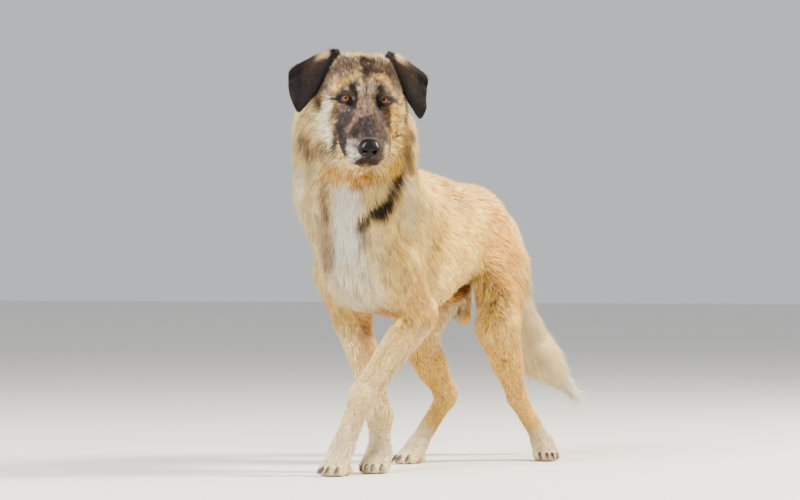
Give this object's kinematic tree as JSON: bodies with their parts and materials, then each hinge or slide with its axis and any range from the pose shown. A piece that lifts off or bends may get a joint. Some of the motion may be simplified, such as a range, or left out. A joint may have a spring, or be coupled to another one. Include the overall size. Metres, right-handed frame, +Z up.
{
  "type": "dog",
  "caption": "Life-size standing model of a large rough-coated sheepdog in mid-stride, head turned to its left, with dropped ears, a thick ruff and a low bushy tail.",
  "frame": {"origin": "on the floor, under the centre of the bounding box", "axes": "the dog faces -Y with its left side toward +X, and +Z is up; its length runs along Y"},
  "size_m": [0.3196, 1.0928, 0.9393],
  "materials": {
    "coat": "rough, medium-length hair",
    "pale_coat": "short hair",
    "dark_coat": "short velvety hair",
    "nose": "moist, finely pebbled",
    "eye": "polished"
  },
  "bodies": {
    "root": {"chest": "coat", "loin": "coat", "rump": "coat", "thigh_left": "coat", "shin_left": "coat", "hind_pastern_left": "pale_coat", "hind_paw_left": "pale_coat", "thigh_right": "coat", "shin_right": "coat", "hind_pastern_right": "pale_coat", "hind_paw_right": "pale_coat", "forearm_left": "coat", "fore_pastern_left": "pale_coat", "fore_paw_left": "pale_coat", "forearm_right": "coat", "fore_pastern_right": "pale_coat", "fore_paw_right": "pale_coat", "neck": "coat", "nose": "nose", "lower_jaw": "pale_coat", "muzzle": "dark_coat", "head": "coat", "eye_left": "eye", "eye_right": "eye", "ear_left": "dark_coat", "ear_right": "dark_coat", "tail_root": "coat", "tail_brush": "coat"}
  },
  "joints": []
}
